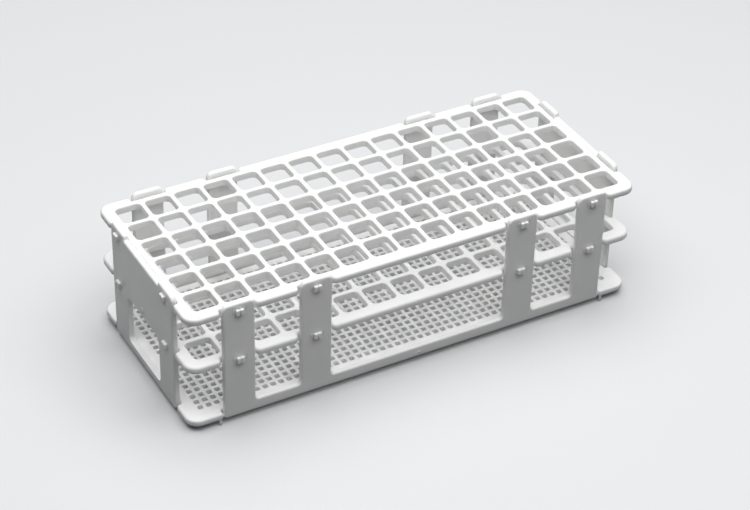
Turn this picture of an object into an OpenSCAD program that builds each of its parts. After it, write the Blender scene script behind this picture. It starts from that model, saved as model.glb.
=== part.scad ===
// Test tube rack: three shelves held by two end panels and two fold-down side panels.
// Origin: floor level under the middle of the rack. +X along the rack, -Y its front, +Z up.

/* [Wells] */
// Number of wells along the rack
columns = 15; // [8:1:18]
// Number of wells across the rack
rows = 6; // [5:1:8]
// Distance between the centres of neighbouring wells
pitch = 15.7; // [14.5:0.1:18]
// Width of a square well
well = 13.3; // [12:0.1:13.8]
// Radius in the corners of a well
well_r = 2.3; // [1:0.1:4]

/* [Shelves] */
// Thickness of the top and middle shelves
shelf_t = 4; // [3:0.1:6]
// Width of the rim beyond the wells at the ends of the rack
end_rim = 6.45; // [5.5:0.05:9]
// Width of the rim beyond the wells along the sides of the rack
side_rim = 6.6; // [5.5:0.05:9]
// Radius of the corner lugs, seen from above
lug_r = 6.5; // [4:0.5:12]
// Radius of the lips beside each upright
lip_r = 2.2; // [0.5:0.1:2.4]
// Gap between an upright and the shelf on each side of it
notch_gap = 0.9; // [0.5:0.1:2]

/* [Heights] */
// Height of the feet
foot_h = 3; // [1:0.5:6]
// Underside of the middle shelf above the floor
middle_z = 34.5; // [33:0.5:40]
// Underside of the top shelf above the floor
top_z = 62.4; // [56:0.1:75]
// Height of the panels' tabs above the top shelf
tab_rise = 2.5; // [1:0.1:4]

/* [Base] */
// Thickness of the base
base_t = 3.6; // [3:0.1:5]
// Distance between the drain holes
mesh_pitch = 4.28; // [4.2:0.02:4.36]
// Width of a square drain hole
mesh_hole = 2.7; // [1.5:0.1:3.4]

/* [Panels] */
// Thickness of the side and end panels
panel_t = 3; // [2.8:0.1:3.4]
// Length of a side panel
side_l = 210; // [204:1:210]
// Width of a side panel's upright
upright_w = 16.4; // [12:0.1:18]
// Distance from the middle to the inner pair of uprights
upright_in = 56.5; // [50:0.1:62]
// Height of a side panel's rail
side_rail = 6.3; // [5:0.1:9]
// Width of an end panel
end_w = 70.2; // [66:0.2:72]
// Width of the ledge between an end panel's two tabs
ledge_w = 39.6; // [30:0.2:46]
// Width of an end panel's window
window_w = 37.2; // [24:0.2:38]
// Height of an end panel's rail under the window
end_rail = 4.4; // [3:0.1:6]
// Height of an end panel's window
window_h = 27; // [16:0.1:28]
// Radius of the rounded corners of the panels
panel_r = 3; // [1:0.1:5]

/* [Pegs and hinges] */
// Width of the tab that fills a panel's slot
tab_w = 6.2; // [5:0.1:6.4]
// Width of the knob on the tab
knob_w = 4.1; // [3:0.1:5]
// Height of the tab and the knob
peg_h = 2.7; // [1.5:0.1:2.8]
// How far the knob stands out of its panel
peg_out = 2.3; // [1:0.1:4]
// Distance from the middle of an end panel to a peg
end_peg = 27; // [24:0.1:29]
// Width of a slot for a snap peg
slot_w = 6.9; // [6.8:0.1:8]
// Height of a slot for a snap peg
slot_h = 3.4; // [3.4:0.1:4]
// Radius of a hinge pin
pin_r = 0.9; // [0.6:0.05:1]
// Length of a hinge pin
pin_l = 3.8; // [2:0.1:5]
// Diameter of a foot
foot_d = 1.6; // [1.2:0.1:2.4]
// Distance from the end of a lug to the middle of its foot
foot_in = 1.5; // [1.3:0.1:4]

/* [Hidden] */
$fn = 48;
white = "#f4f4f2";
rib = pitch - well;
// The field of wells, up to the outer walls of the outermost ones
field_l = columns * pitch - rib;
field_w = rows * pitch - rib;
rack_l = field_l + 2 * end_rim;
rack_w = field_w + 2 * side_rim;
// A side panel stands this far from a shelf's edge, and an end panel touches it
side_gap = 0.3;
// The lower edge of a side panel turns about its pins inside this wider gap
base_gap = 0.8;
upright_out = (side_l - upright_w) / 2;
upright_x = [-upright_out, -upright_in, upright_in, upright_out];
panel_top = top_z + shelf_t + tab_rise;
base_z = foot_h;
// The mesh keeps at least this far from the panels
mesh_border = 3;
mesh_columns = floor((rack_l - 2 * (panel_t + mesh_border)) / mesh_pitch);
mesh_rows = floor((rack_w - 2 * (panel_t + mesh_border)) / mesh_pitch);
mesh_l = mesh_columns * mesh_pitch;
mesh_w = mesh_rows * mesh_pitch;
// The hinge pins run along the middle of a side panel's lower edge
hinge_y = (rack_w - panel_t) / 2;
hinge_z = base_z + panel_t / 2;
// Gap between the end of a side panel and a lug of the base
pin_gap = 0.7;
// Room around a pin in its bore, and past its tip
bore_clearance = 0.05;
bore_end = 0.3;
// The split between the two lobes of a knob, which starts just outside the panel
split_w = 0.6;
split_start = 0.4;
// The rounding around a foot's sole
foot_r = 0.4;
// The round marks where plastic entered the moulds of the panels
gate_r = 1.4;
gate_h = 0.4;
// How far a cutting shape reaches past the face that it cuts
past = 1;
// How far shapes that join reach into each other
overlap = 0.01;

// A rectangle about the origin with round corners
module round_rect(l, w, r) {
  square([l - 2 * r, w], center = true);
  square([l, w - 2 * r], center = true);
  for (x = [-1, 1], y = [-1, 1]) translate([x * (l / 2 - r), y * (w / 2 - r)]) circle(r);
}

// A rectangle standing on the X axis with two round corners, at its top
module round_topped(l, h, r) {
  translate([-l / 2, 0]) square([l, h - r]);
  translate([r - l / 2, 0]) square([l - 2 * r, h]);
  for (x = [-1, 1]) translate([x * (l / 2 - r), h - r]) circle(r);
}

// A notch cut down from the X axis, with round lips beside its mouth
module notch(l, depth, r) {
  translate([-l / 2, -depth]) square([l, depth + past]);
  for (side = [0, 1]) mirror([side, 0]) difference() {
    translate([l / 2 - overlap, -r]) square([r + overlap, r + past]);
    translate([l / 2 + r, -r]) circle(r);
  }
}

// The shelf's outline, with its notches for the end panels
module lugged_outline() {
  difference() {
    round_rect(rack_l, rack_w, lug_r);
    for (turn = [90, -90]) rotate(turn) translate([0, rack_l / 2])
      notch(end_w + 2 * notch_gap, panel_t, lip_r);
  }
}

module rim(thickness) {
  linear_extrude(thickness) difference() {
    lugged_outline();
    square([field_l, field_w], center = true);
    for (side = [0, 1]) mirror([0, side]) for (x = upright_x) translate([x, rack_w / 2])
      notch(upright_w + 2 * notch_gap, panel_t + side_gap, lip_r);
  }
}

module long_ribs() {
  for (row = [1 : rows - 1])
    translate([-field_l / 2, (row - rows / 2) * pitch - rib / 2, 0]) cube([field_l, rib, shelf_t]);
}

module cross_ribs() {
  for (column = [1 : columns - 1], row = [0 : rows - 1])
    translate([(column - columns / 2) * pitch - rib / 2, (row - rows / 2) * pitch + rib / 2, 0])
      cube([rib, well, shelf_t]);
}

// The fillets that round the four corners of every well
module well_corners() {
  linear_extrude(shelf_t)
    for (column = [0 : columns - 1], row = [0 : rows - 1])
      translate([(column - (columns - 1) / 2) * pitch, (row - (rows - 1) / 2) * pitch])
        difference() {
          square(well, center = true);
          round_rect(well, well, well_r);
        }
}

// A tab with a split knob, which stands out along +Y from a shelf's edge at the origin
module peg(length) {
  neck = length - peg_out;
  linear_extrude(peg_h, center = true) difference() {
    union() {
      translate([-tab_w / 2, 0]) square([tab_w, neck]);
      translate([-knob_w / 2, 0]) square([knob_w, length - knob_w / 4]);
      for (side = [-1, 1]) translate([side * knob_w / 4, length - knob_w / 4]) circle(knob_w / 4);
    }
    translate([-split_w / 2, neck + split_start]) square([split_w, peg_out]);
  }
}

module pegs() {
  translate([0, 0, shelf_t / 2]) {
    for (turn = [0, 180], x = upright_x) rotate(turn)
      translate([x, rack_w / 2 - panel_t - side_gap, 0]) peg(panel_t + side_gap + peg_out);
    for (turn = [90, -90], y = [-end_peg, end_peg]) rotate(turn)
      translate([y, rack_l / 2 - panel_t, 0]) peg(panel_t + peg_out);
  }
}

module base_outline() {
  difference() {
    lugged_outline();
    for (side = [0, 1]) mirror([0, side]) translate([0, rack_w / 2])
      notch(side_l + 2 * pin_gap, panel_t + base_gap, lip_r / 2);
  }
}

// The bores in the lugs that a side panel's pins turn in
module hinge_bores() {
  for (x = [-1, 1], y = [-1, 1])
    translate([x * side_l / 2, y * hinge_y, hinge_z]) rotate([0, 90, 0])
      cylinder(h = 2 * (pin_l + bore_end), r = pin_r + bore_clearance, center = true);
}

// A foot under a lug: a short round post with a rounded sole
module foot(x, y) {
  translate([x * (side_l / 2 + pin_gap + foot_in), y * (rack_w - foot_d) / 2, 0])
    rotate_extrude() {
      square([foot_d / 2 - foot_r, foot_h]);
      translate([0, foot_r]) square([foot_d / 2, foot_h - foot_r]);
      intersection() {
        translate([foot_d / 2 - foot_r, foot_r]) circle(foot_r);
        square(foot_d);
      }
    }
}

// An end panel in its own plane, X across it and Y up from its lower edge
module end_outline() {
  difference() {
    round_topped(end_w, panel_top - base_z, panel_r);
    translate([-ledge_w / 2, top_z + shelf_t - base_z]) square([ledge_w, tab_rise + past]);
    translate([0, end_rail + window_h / 2]) round_rect(window_w, window_h, panel_r);
    for (x = [-end_peg, end_peg], z = [middle_z, top_z])
      translate([x, z + shelf_t / 2 - base_z]) square([slot_w, slot_h], center = true);
  }
}

module end_panel(side) {
  translate([side * (rack_l - panel_t) / 2, 0, base_z]) rotate([90, 0, 90]) {
    linear_extrude(panel_t, center = true) end_outline();
    translate([0, middle_z + shelf_t - base_z, side * panel_t / 2])
      cylinder(h = 2 * gate_h, r = gate_r, center = true);
  }
}

// A side panel in its own plane, X along it and Y up from its lower edge
module side_outline() {
  difference() {
    union() {
      translate([-side_l / 2, 0]) square([side_l, side_rail]);
      for (x = upright_x) translate([x, 0]) round_topped(upright_w, panel_top - base_z, panel_r);
    }
    for (x = upright_x, z = [middle_z, top_z])
      translate([x, z + shelf_t / 2 - base_z]) square([slot_w, slot_h], center = true);
  }
}

module side_panel(side) {
  translate([0, side * hinge_y, base_z]) rotate([90, 0, 0])
    linear_extrude(panel_t, center = true) side_outline();
  for (x = [-1, 1]) translate([x * side_l / 2, side * hinge_y, hinge_z]) rotate([0, 90, 0])
    cylinder(h = 2 * pin_l, r = pin_r, center = true);
  translate([0, side * rack_w / 2, base_z + side_rail / 3]) rotate([90, 0, 0])
    cylinder(h = 2 * gate_h, r = gate_r, center = true);
}

module top_rim() { color(white) translate([0, 0, top_z]) rim(shelf_t); }
module top_long_ribs() { color(white) translate([0, 0, top_z]) long_ribs(); }
module top_cross_ribs() { color(white) translate([0, 0, top_z]) cross_ribs(); }
module top_well_corners() { color(white) translate([0, 0, top_z]) well_corners(); }
module top_pegs() { color(white) translate([0, 0, top_z]) pegs(); }
module middle_rim() { color(white) translate([0, 0, middle_z]) rim(shelf_t); }
module middle_long_ribs() { color(white) translate([0, 0, middle_z]) long_ribs(); }
module middle_cross_ribs() { color(white) translate([0, 0, middle_z]) cross_ribs(); }
module middle_well_corners() { color(white) translate([0, 0, middle_z]) well_corners(); }
module middle_pegs() { color(white) translate([0, 0, middle_z]) pegs(); }

module base_rim() {
  color(white) difference() {
    translate([0, 0, base_z]) linear_extrude(base_t) difference() {
      base_outline();
      square([mesh_l, mesh_w], center = true);
    }
    hinge_bores();
  }
}

module base_mesh() {
  color(white) translate([0, 0, base_z]) linear_extrude(base_t) difference() {
    square([mesh_l, mesh_w], center = true);
    for (column = [0 : mesh_columns - 1], row = [0 : mesh_rows - 1])
      translate([(column - (mesh_columns - 1) / 2) * mesh_pitch, (row - (mesh_rows - 1) / 2) * mesh_pitch])
        square(mesh_hole, center = true);
  }
}

module foot_front_left() { color(white) foot(-1, -1); }
module foot_front_right() { color(white) foot(1, -1); }
module foot_rear_left() { color(white) foot(-1, 1); }
module foot_rear_right() { color(white) foot(1, 1); }
module left_end_panel() { color(white) end_panel(-1); }
module right_end_panel() { color(white) end_panel(1); }
module front_side_panel() { color(white) side_panel(-1); }
module rear_side_panel() { color(white) side_panel(1); }

top_rim();
top_long_ribs();
top_cross_ribs();
top_well_corners();
top_pegs();
middle_rim();
middle_long_ribs();
middle_cross_ribs();
middle_well_corners();
middle_pegs();
base_rim();
base_mesh();
foot_front_left();
foot_front_right();
foot_rear_left();
foot_rear_right();
left_end_panel();
right_end_panel();
front_side_panel();
rear_side_panel();
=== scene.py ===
"""Looks for a snap-together test tube rack: white polypropylene mouldings on a pale studio floor."""
import math

import bmesh
import bpy
from mathutils import Matrix, Vector
from mathutils.geometry import tessellate_polygon


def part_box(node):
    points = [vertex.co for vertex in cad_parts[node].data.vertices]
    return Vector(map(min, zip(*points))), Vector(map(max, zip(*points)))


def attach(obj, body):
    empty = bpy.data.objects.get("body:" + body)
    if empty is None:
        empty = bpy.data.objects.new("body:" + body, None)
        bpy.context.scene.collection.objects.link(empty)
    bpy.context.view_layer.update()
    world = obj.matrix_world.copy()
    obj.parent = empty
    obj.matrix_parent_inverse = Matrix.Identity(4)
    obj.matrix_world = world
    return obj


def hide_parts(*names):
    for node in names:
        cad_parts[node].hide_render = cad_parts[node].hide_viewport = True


MM = 0.001
ARC_STEPS = 6  # steps around an outline's corner
EDGE_STEPS = 3  # steps across a small rounded edge
WIDE_EDGE_STEPS = 4  # steps across a shelf's or panel's rounded edge
KNOB_STEPS = 5  # steps around a knob's corners and edges

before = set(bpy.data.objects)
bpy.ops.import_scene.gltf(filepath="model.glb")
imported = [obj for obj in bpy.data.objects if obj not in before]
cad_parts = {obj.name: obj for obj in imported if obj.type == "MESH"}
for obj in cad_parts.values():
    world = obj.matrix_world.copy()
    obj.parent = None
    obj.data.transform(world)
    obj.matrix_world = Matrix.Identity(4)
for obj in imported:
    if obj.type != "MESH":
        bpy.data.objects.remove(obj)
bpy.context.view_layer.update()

# --- Sizes, worked out from the frame ---


def size(node):
    low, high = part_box(node)
    return Vector(high) - Vector(low)


def centre(node):
    low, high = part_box(node)
    return (Vector(high) + Vector(low)) / 2


COLUMNS, ROWS = 15, 6
RACK_L, RACK_W, SHELF_T = size("top_rim")
PITCH = (size("top_cross_ribs").x - size("top_long_ribs").y) / (COLUMNS - ROWS)
WELL = PITCH - (size("top_long_ribs").y - (ROWS - 2) * PITCH)
WELL_R = 2.3 * MM
LUG_R = 6.5 * MM
LIP_R = 2.2 * MM
INNER_R = 0.8 * MM  # corners at the bottom of a notch or a ledge
NOTCH_GAP = 0.9 * MM
SHELF_EDGE, WELL_EDGE = 1.3 * MM, 0.6 * MM
PANEL_T = 3 * MM
SIDE_GAP = 0.3 * MM
BASE_GAP = 0.8 * MM
BASE_T = size("base_rim").z
BASE_EDGE = 1 * MM
MESH_PITCH = 4.28 * MM
MESH_HOLE = 2.6 * MM
MESH_R, MESH_EDGE = 0.3 * MM, 0.25 * MM
MESH_COLUMNS = round(size("base_mesh").x / MESH_PITCH)
MESH_ROWS = round(size("base_mesh").y / MESH_PITCH)
PANEL_H = size("front_side_panel").z
PANEL_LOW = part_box("front_side_panel")[0][2]
PANEL_R = 3 * MM
PANEL_FOOT_R = 1.1 * MM  # corners at the lower ends of a panel
PANEL_EDGE = 1 * MM
SIDE_L = 210 * MM
SIDE_RAIL = 6.3 * MM
RAIL_R = 2 * MM  # corners between the rail and the uprights
UPRIGHT_W = 16.4 * MM
UPRIGHTS = [-96.8 * MM, -56.5 * MM, 56.5 * MM, 96.8 * MM]
END_W = size("left_end_panel").y
LEDGE_W = 39.6 * MM
LEDGE_TOP_R = 1.2 * MM
WINDOW_W, WINDOW_H = 37.2 * MM, 27 * MM
END_RAIL = 4.4 * MM
END_PEGS = [-27 * MM, 27 * MM]
SLOT_W, SLOT_H = 6.8 * MM, 2.7 * MM
SLOT_R, HOLE_EDGE = 0.4 * MM, 0.3 * MM
TAB_W, TAB_H = 6.7 * MM, 2.6 * MM
TAB_EDGE = 0.3 * MM
TAB_PROUD = 0.08 * MM
KNOB_W, KNOB_H = 3.9 * MM, 3.2 * MM
KNOB_R, KNOB_EDGE = 0.4 * MM, 0.35 * MM
KNOB_OUT = 1.7 * MM
SPLIT = 0.1 * MM  # between a knob's two lobes
FOOT_D, FOOT_H = size("foot_front_left").x, size("foot_front_left").z
FOOT_EDGE = 0.4 * MM
HINGE_Y, HINGE_Z = (RACK_W - PANEL_T) / 2, PANEL_LOW + PANEL_T / 2
PIN_GAP = 0.7 * MM
PIN_R, PIN_EDGE = 0.9 * MM, 0.3 * MM
ROOT = 1 * MM  # how far a foot or a pin runs into what holds it
GATE_R = 1.4 * MM
PEG_LEVELS = [centre("middle_rim").z - PANEL_LOW, centre("top_rim").z - PANEL_LOW]

# --- Outlines and plates ---


def rounded(corners, steps=ARC_STEPS):
    """The points of a closed outline whose corners are (x, y, radius)."""
    points = []
    for i, (x, y, r) in enumerate(corners):
        here = Vector((x, y))
        back = (Vector(corners[i - 1][:2]) - here).normalized()
        on = (Vector(corners[(i + 1) % len(corners)][:2]) - here).normalized()
        half = back.angle(on) / 2
        middle = here + (back + on).normalized() * r / math.sin(half)
        first = here + back * r / math.tan(half) - middle
        last = here + on * r / math.tan(half) - middle
        turn = first.angle_signed(last)
        for step in range(steps + 1):
            angle = -turn * step / steps
            spun = Vector((first.x * math.cos(angle) - first.y * math.sin(angle),
                           first.x * math.sin(angle) + first.y * math.cos(angle)))
            points.append(middle + spun)
    return points


def rectangle(x, y, w, h, r, steps=ARC_STEPS):
    """A hole or an outline about (x, y), counter-clockwise."""
    signs = ((-1, -1), (1, -1), (1, 1), (-1, 1))
    return rounded([(x + sx * w / 2, y + sy * h / 2, r) for sx, sy in signs], steps)


def circle(r, steps=24):
    return [Vector((r * math.cos(turn), r * math.sin(turn)))
            for turn in (2 * math.pi * step / steps for step in range(steps))]


def inset(loop, distance):
    """Moves a counter-clockwise loop inwards, or a clockwise one outwards."""
    moved = []
    for i, p in enumerate(loop):
        before = (p - loop[i - 1]).normalized()
        after = (loop[(i + 1) % len(loop)] - p).normalized()
        normal = Vector((-before.y - after.y, before.x + after.x)).normalized()
        lean = max(normal.dot(Vector((-before.y, before.x))), 0.5)
        moved.append(p + normal * distance / lean)
    return moved


def plate(name, outline, holes, thickness, edge, edge_steps=EDGE_STEPS, hole_edge=None):
    """A plate about z = 0 with rounded edges: outline runs counter-clockwise, and so does each hole."""
    loops = [(outline, edge)] + [(hole[::-1], hole_edge or edge) for hole in holes]
    verts, faces, flat, start = [], [], [], 0
    for loop, radius in loops:
        rings = []
        for side in (1, -1):
            arc = [side * step / edge_steps for step in range(edge_steps + 1)]
            for part in arc if side > 0 else arc[::-1]:
                angle = abs(part) * math.pi / 2
                pulled = inset(loop, radius * (1 - math.sin(angle)))
                z = side * (thickness / 2 - radius * (1 - math.cos(angle)))
                rings.append([(p.x, p.y, z) for p in pulled])
        count = len(loop)
        for ring in rings:
            verts.extend(ring)
        for k in range(len(rings) - 1):
            for i in range(count):
                j = (i + 1) % count
                a, b = start + k * count, start + (k + 1) * count
                faces.append((a + i, b + i, b + j, a + j))
        flat.append((start, start + (len(rings) - 1) * count, count))
        start += len(rings) * count
    for which in (0, 1):
        borders = [[Vector(verts[f[which] + i]) for i in range(f[2])] for f in flat]
        index = [f[which] + i for f in flat for i in range(f[2])]
        for tri in tessellate_polygon(borders):
            a, b, c = (index[t] for t in tri)
            up = (Vector(verts[b]) - Vector(verts[a])).cross(Vector(verts[c]) - Vector(verts[a])).z > 0
            faces.append((a, b, c) if up == (which == 0) else (a, c, b))
    return mesh_object(name, verts, faces)


def mesh_object(name, verts, faces):
    mesh = bpy.data.meshes.new(name)
    mesh.from_pydata([tuple(v) for v in verts], [], faces)
    mesh.validate()
    mesh.shade_smooth()
    piece = bpy.data.objects.new(name, mesh)
    bpy.context.scene.collection.objects.link(piece)
    soften = piece.modifiers.new("even_normals", "WEIGHTED_NORMAL")
    soften.weight = 100
    return piece


def shift(x, y, z):
    return Matrix.Translation((x, y, z))


# --- Shelves and base ---


def mirrored(quarter):
    """Completes a counter-clockwise outline from its quarter in +X +Y, from the X axis to the Y axis."""
    left = [(-x, y, r) for x, y, r in reversed(quarter)]
    return quarter + left + [(-x, -y, r) for x, y, r in quarter + left]


def lugged_outline(side_notches, depth, lip):
    """A shelf's outline: side_notches lists (from, to) along +X, the outer one first."""
    end_half = END_W / 2 + NOTCH_GAP
    quarter = [
        (RACK_L / 2 - PANEL_T, end_half, INNER_R),
        (RACK_L / 2, end_half, LIP_R),
        (RACK_L / 2, RACK_W / 2, LUG_R),
    ]
    for low, high in side_notches:
        quarter += [(high, RACK_W / 2, lip), (high, RACK_W / 2 - depth, INNER_R)]
        if low > 0:
            quarter += [(low, RACK_W / 2 - depth, INNER_R), (low, RACK_W / 2, lip)]
    return rounded(mirrored(quarter))


def grid(columns, rows, pitch):
    for column in range(columns):
        for row in range(rows):
            yield (column - (columns - 1) / 2) * pitch, (row - (rows - 1) / 2) * pitch


def shelf(name, z):
    half = UPRIGHT_W / 2 + NOTCH_GAP
    notches = [(x - half, x + half) for x in reversed(UPRIGHTS) if x > 0]
    wells = [rectangle(x, y, WELL, WELL, WELL_R) for x, y in grid(COLUMNS, ROWS, PITCH)]
    outline = lugged_outline(notches, PANEL_T + SIDE_GAP, LIP_R)
    piece = plate(name, outline, wells, SHELF_T, SHELF_EDGE, WIDE_EDGE_STEPS, WELL_EDGE)
    piece.data.transform(shift(0, 0, z))
    return piece


def base():
    half = SIDE_L / 2 + PIN_GAP
    outline = lugged_outline([(-half, half)], PANEL_T + BASE_GAP, LIP_R / 2)
    holes = [rectangle(x, y, MESH_HOLE, MESH_HOLE, MESH_R, 1)
             for x, y in grid(MESH_COLUMNS, MESH_ROWS, MESH_PITCH)]
    piece = plate("base", outline, holes, BASE_T, BASE_EDGE, hole_edge=MESH_EDGE)
    piece.data.transform(shift(0, 0, centre("base_rim").z))
    return piece


# --- Panels ---


def slots(xs):
    return [rectangle(x, level, SLOT_W, SLOT_H, SLOT_R) for x in xs for level in PEG_LEVELS]


def upright_panel(name, outline, holes, place):
    """A panel drawn in its own plane, X across it and Y up from its lower edge, then stood up by place."""
    piece = plate(name, outline, holes, PANEL_T, PANEL_EDGE, WIDE_EDGE_STEPS, HOLE_EDGE)
    piece.data.transform(place)
    return piece


def side_panel(name, side):
    corners = [(-SIDE_L / 2, 0, PANEL_FOOT_R), (SIDE_L / 2, 0, PANEL_FOOT_R)]
    for x in reversed(UPRIGHTS):
        right, left = x + UPRIGHT_W / 2, x - UPRIGHT_W / 2
        if x < max(UPRIGHTS):
            corners.append((right, SIDE_RAIL, RAIL_R))
        corners += [(right, PANEL_H, PANEL_R), (left, PANEL_H, PANEL_R)]
        if x > min(UPRIGHTS):
            corners.append((left, SIDE_RAIL, RAIL_R))
    place = Matrix.Translation((0, side * HINGE_Y, PANEL_LOW)) @ Matrix.Rotation(math.pi / 2, 4, "X")
    return upright_panel(name, rounded(corners), slots(UPRIGHTS), place)


def end_panel(name, side):
    ledge = centre("top_rim").z + SHELF_T / 2 - PANEL_LOW
    corners = [
        (-END_W / 2, 0, PANEL_FOOT_R), (END_W / 2, 0, PANEL_FOOT_R),
        (END_W / 2, PANEL_H, PANEL_R), (LEDGE_W / 2, PANEL_H, LEDGE_TOP_R),
        (LEDGE_W / 2, ledge, INNER_R), (-LEDGE_W / 2, ledge, INNER_R),
        (-LEDGE_W / 2, PANEL_H, LEDGE_TOP_R), (-END_W / 2, PANEL_H, PANEL_R),
    ]
    window = rectangle(0, END_RAIL + WINDOW_H / 2, WINDOW_W, WINDOW_H, PANEL_R)
    turn = Matrix.Rotation(math.pi / 2, 4, "Z") @ Matrix.Rotation(math.pi / 2, 4, "X")
    place = Matrix.Translation((side * (RACK_L - PANEL_T) / 2, 0, PANEL_LOW)) @ turn
    return upright_panel(name, rounded(corners), [window] + slots(END_PEGS), place)


# --- Pegs, feet and hinge pins ---


def peg(name, length):
    """A tab that ends in a split knob, pointing along +Y from the origin."""
    lobe_w = (KNOB_W - SPLIT) / 2
    tab_l = length - KNOB_OUT + TAB_PROUD
    parts = [plate(name, rectangle(0, tab_l / 2, TAB_W, tab_l, TAB_EDGE), [], TAB_H, TAB_EDGE)]
    for side in (-1, 1):
        x = side * (lobe_w + SPLIT) / 2
        outline = rectangle(x, length - KNOB_OUT / 2, lobe_w, KNOB_OUT, KNOB_R, KNOB_STEPS)
        parts.append(plate(name, outline, [], KNOB_H, KNOB_EDGE, KNOB_STEPS))
    return joined(name, parts)


def pegs(name, z):
    parts = []
    for turn in (0, math.pi):
        for x in UPRIGHTS:
            part = peg(name, PANEL_T + SIDE_GAP + KNOB_OUT)
            root = shift(x, RACK_W / 2 - PANEL_T - SIDE_GAP, z)
            part.data.transform(Matrix.Rotation(turn, 4, "Z") @ root)
            parts.append(part)
    for turn in (math.pi / 2, -math.pi / 2):
        for y in END_PEGS:
            part = peg(name, PANEL_T + KNOB_OUT)
            part.data.transform(Matrix.Rotation(turn, 4, "Z") @ shift(y, RACK_L / 2 - PANEL_T, z))
            parts.append(part)
    return joined(name, parts)


def joined(name, parts):
    """One piece made of several, with the first one's modifiers."""
    whole = bmesh.new()
    for part in parts:
        whole.from_mesh(part.data)
    whole.to_mesh(parts[0].data)
    whole.free()
    for part in parts[1:]:
        bpy.data.objects.remove(part)
    parts[0].name = name
    parts[0].data.shade_smooth()
    return parts[0]


def foot(name):
    """A short round post under a lug, with a rounded sole, that runs up into the lug."""
    tall = FOOT_H + ROOT
    piece = plate(name, circle(FOOT_D / 2), [], tall, FOOT_EDGE)
    spot = centre(name)
    piece.data.transform(shift(spot.x, spot.y, tall / 2))
    return piece


def hinge_pins(name, side):
    """The pins at both ends of a side panel, along the X axis."""
    reach = (size(name.replace("_pins", "_panel")).x - SIDE_L) / 2
    parts = []
    for end in (-1, 1):
        part = plate(name, circle(PIN_R), [], reach + ROOT, PIN_EDGE)
        x = end * (SIDE_L / 2 + (reach - ROOT) / 2)
        part.data.transform(shift(x, side * HINGE_Y, HINGE_Z) @ Matrix.Rotation(math.pi / 2, 4, "Y"))
        parts.append(part)
    return joined(name, parts)


def gate_mark(name, place):
    """The low ring where plastic entered the mould, with a dimple in it, facing +Z."""
    # (share of the radius, height in mm), from the middle to the rim, which is sunk in the panel
    profile = [(0, 0.12), (0.3, 0.13), (0.5, 0.25), (0.7, 0.36), (0.85, 0.33), (0.97, 0.15), (1, -0.2)]
    spokes = 32
    verts, faces = [], []
    for r, z in profile[1:]:
        for k in range(spokes):
            turn = 2 * math.pi * k / spokes
            verts.append((GATE_R * r * math.cos(turn), GATE_R * r * math.sin(turn), z * MM))
    for ring in range(len(profile) - 2):
        for k in range(spokes):
            a, b = ring * spokes + k, ring * spokes + (k + 1) % spokes
            faces.append((a, a + spokes, b + spokes, b))
    verts.append((0, 0, profile[0][1] * MM))
    faces += [(len(verts) - 1, k, (k + 1) % spokes) for k in range(spokes)]
    piece = mesh_object(name, verts, faces)
    piece.data.transform(place)
    return piece


# --- Materials ---


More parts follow.
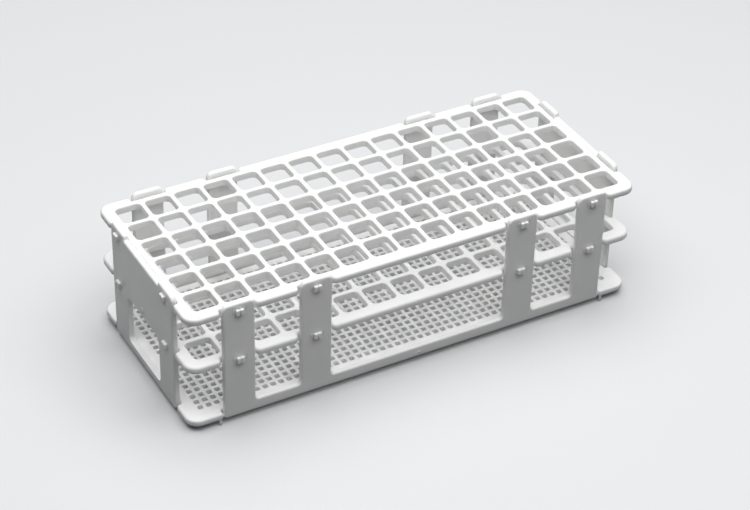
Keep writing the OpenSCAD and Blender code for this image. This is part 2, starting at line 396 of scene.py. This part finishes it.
def polypropylene(name, seed, painted_light_tint):
    """Satin white polypropylene: a fine mould grain, faint flow clouding, slightly greyer edges, and a
    per-piece tint that is painted light and shade.
    """
    material = bpy.data.materials.new(name)
    material.use_nodes = True
    nodes, links = material.node_tree.nodes, material.node_tree.links
    shader = nodes["Principled BSDF"]
    place = nodes.new("ShaderNodeTexCoord")
    moved = nodes.new("ShaderNodeMapping")
    moved.inputs["Location"].default_value = (seed * 0.37, seed * 0.11, seed * 0.23)
    links.new(place.outputs["Object"], moved.inputs["Vector"])

    def noise(scale, detail, roughness=0.5):
        node = nodes.new("ShaderNodeTexNoise")
        node.inputs["Scale"].default_value = scale
        node.inputs["Detail"].default_value = detail
        node.inputs["Roughness"].default_value = roughness
        links.new(moved.outputs["Vector"], node.inputs["Vector"])
        return node.outputs["Fac"]

    def remap(value, low, high, out_low, out_high):
        node = nodes.new("ShaderNodeMapRange")
        node.inputs["From Min"].default_value = low
        node.inputs["From Max"].default_value = high
        node.inputs["To Min"].default_value = out_low
        node.inputs["To Max"].default_value = out_high
        links.new(value, node.inputs["Value"])
        return node.outputs["Result"]

    def blend(factor, a, b):
        node = nodes.new("ShaderNodeMix")
        node.data_type = "RGBA"
        links.new(factor, node.inputs["Factor"])
        for socket, colour in ((node.inputs["A"], a), (node.inputs["B"], b)):
            if isinstance(colour, tuple):
                socket.default_value = colour
            else:
                links.new(colour, socket)
        return node.outputs["Result"]

    # The tint scales the whole white per piece. It is painted light and shade: a lighter copy where shade
    # falls, a darker copy where light falls full.
    base = tuple(c * painted_light_tint for c in (0.92, 0.922, 0.915)) + (1,)
    cloudy = tuple(c * painted_light_tint for c in (0.88, 0.882, 0.872)) + (1,)
    scuffed = tuple(c * painted_light_tint for c in (0.80, 0.80, 0.79)) + (1,)
    clouds = remap(noise(28, 4), 0.35, 0.7, 0, 1)
    tinted = blend(clouds, base, cloudy)
    edge = nodes.new("ShaderNodeNewGeometry").outputs["Pointiness"]
    worn = nodes.new("ShaderNodeMath")
    worn.operation = "MULTIPLY"
    links.new(remap(edge, 0.52, 0.62, 0, 0.5), worn.inputs[0])
    links.new(remap(noise(420, 3), 0.45, 0.65, 0, 1), worn.inputs[1])
    links.new(blend(worn.outputs["Value"], tinted, scuffed), shader.inputs["Base Color"])
    links.new(remap(noise(160, 5), 0.3, 0.7, 0.36, 0.5), shader.inputs["Roughness"])

    grain = nodes.new("ShaderNodeBump")
    grain.inputs["Strength"].default_value = 0.12
    grain.inputs["Distance"].default_value = 0.00004
    links.new(noise(5200, 3), grain.inputs["Height"])
    waves = nodes.new("ShaderNodeBump")
    waves.inputs["Strength"].default_value = 0.15
    waves.inputs["Distance"].default_value = 0.0004
    links.new(noise(70, 2), waves.inputs["Height"])
    links.new(grain.outputs["Normal"], waves.inputs["Normal"])
    links.new(waves.outputs["Normal"], shader.inputs["Normal"])
    shader.inputs["IOR"].default_value = 1.49
    shader.inputs["Subsurface Weight"].default_value = 0.4
    shader.inputs["Subsurface Radius"].default_value = (0.003, 0.003, 0.0028)
    shader.inputs["Subsurface Scale"].default_value = 0.8
    return material


def floor_material():
    material = bpy.data.materials.new("studio_paper")
    material.use_nodes = True
    nodes, links = material.node_tree.nodes, material.node_tree.links
    shader = nodes["Principled BSDF"]
    paper = nodes.new("ShaderNodeTexNoise")
    paper.inputs["Scale"].default_value = 900
    ramp = nodes.new("ShaderNodeMapRange")
    ramp.inputs["To Min"].default_value = 0.78
    ramp.inputs["To Max"].default_value = 0.86
    links.new(paper.outputs["Fac"], ramp.inputs["Value"])
    links.new(ramp.outputs["Result"], shader.inputs["Roughness"])
    shader.inputs["Base Color"].default_value = (0.66, 0.665, 0.67, 1)
    return material


# --- The rack ---


def add(piece, body, material, *nodes):
    piece.data.materials.append(material)
    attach(piece, body)
    if nodes:
        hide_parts(*nodes)
    return piece


def shelf_nodes(level):
    return [f"{level}_{part}" for part in ("rim", "long_ribs", "cross_ribs", "well_corners")]


def build():
    # The tints are painted light and shade. The top shelf gets a darker copy of the white, and the middle
    # shelf a lighter copy for the shade it sits in.
    shelves = {
        "top": polypropylene("pp_top_shelf", 1, 0.94),
        "middle": polypropylene("pp_middle_shelf", 2, 1.02),
    }
    for level, material in shelves.items():
        z = centre(f"{level}_rim").z
        add(shelf(f"{level}_shelf", z), "rack", material, *shelf_nodes(level))
        add(pegs(f"{level}_shelf_pegs", z), "rack", material, f"{level}_pegs")
    # A lighter copy of the white: painted light on the base, which sits in shade under the shelves.
    tray = polypropylene("pp_base", 3, 1.03)
    add(base(), "rack", tray, "base_rim", "base_mesh")
    for x in ("left", "right"):
        for y in ("front", "rear"):
            node = f"foot_{y}_{x}"
            piece = foot(node)
            add(piece, "rack", tray, node)
            piece.name = f"{y}_{x}_foot"
    for name, side, seed in (("left", -1, 4), ("right", 1, 5)):
        # A darker copy of the white: painted shade on the upright end panels.
        material = polypropylene(f"pp_{name}_end", seed, 0.96)
        add(end_panel(f"{name}_end", side), "rack", material, f"{name}_end_panel")
        spot = shift(side * RACK_L / 2, 0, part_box("middle_rim")[1][2])
        turn = Matrix.Rotation(side * math.pi / 2, 4, "Y")
        add(gate_mark(f"{name}_end_gate_mark", spot @ turn), "rack", material)
    for name, side, seed in (("front", -1, 6), ("rear", 1, 7)):
        body = f"{name}_side"
        # A darker copy of the white: painted shade on the upright side panels.
        material = polypropylene(f"pp_{name}_side", seed, 0.96)
        add(side_panel(f"{name}_side", side), body, material, f"{name}_side_panel")
        add(hinge_pins(f"{name}_side_pins", side), body, material)
        spot = shift(0, side * RACK_W / 2, PANEL_LOW + SIDE_RAIL / 3)
        turn = Matrix.Rotation(-side * math.pi / 2, 4, "X")
        add(gate_mark(f"{name}_side_gate_mark", spot @ turn), body, material)


# --- Studio ---

AZIMUTH, ELEVATION, ROLL = (math.radians(a) for a in (-29.56, 35.84, 1.52))
DISTANCE = 1.1243
LENS = 105.96  # mm
AIM_RIGHT, AIM_UP = 3.9 * MM, 24.8 * MM  # the middle of the picture, from the rack's origin


def camera():
    back = Vector((math.sin(AZIMUTH) * math.cos(ELEVATION), -math.cos(AZIMUTH) * math.cos(ELEVATION),
                   math.sin(ELEVATION)))
    level = Vector((math.cos(AZIMUTH), math.sin(AZIMUTH), 0))
    upright = back.cross(level)
    right = math.cos(ROLL) * level + math.sin(ROLL) * upright
    up = math.cos(ROLL) * upright - math.sin(ROLL) * level
    aim = AIM_RIGHT * right + AIM_UP * up
    data = bpy.data.cameras.new("camera")
    data.sensor_width = 36
    data.lens = LENS
    eye = bpy.data.objects.new("camera", data)
    axes = Matrix((right, up, back)).transposed().to_4x4()
    eye.matrix_world = Matrix.Translation(aim + DISTANCE * back) @ axes
    bpy.context.scene.collection.objects.link(eye)
    bpy.context.scene.camera = eye


def softbox(name, position, target, width, height, power):
    data = bpy.data.lights.new(name, "AREA")
    data.shape = "RECTANGLE"
    data.size, data.size_y, data.energy = width, height, power
    lamp = bpy.data.objects.new(name, data)
    aim = Vector(target) - Vector(position)
    lamp.matrix_world = Matrix.Translation(position) @ aim.to_track_quat("-Z", "Y").to_matrix().to_4x4()
    bpy.context.scene.collection.objects.link(lamp)


def studio():
    bpy.ops.mesh.primitive_plane_add(size=6, location=(0, 0, 0))
    floor = bpy.context.object
    floor.name = "floor"
    floor.data.materials.append(floor_material())
    floor.visible_diffuse = False
    world = bpy.data.worlds.new("studio")
    world.use_nodes = True
    world.node_tree.nodes["Background"].inputs["Color"].default_value = (0.9, 0.93, 1, 1)
    world.node_tree.nodes["Background"].inputs["Strength"].default_value = 0.06
    bpy.context.scene.world = world
    bpy.context.scene.view_settings.view_transform = "Standard"
    softbox("overhead", (0.03, -0.05, 1.2), (0, 0, 0), 1.8, 2.1, 32)


build()
camera()
studio()
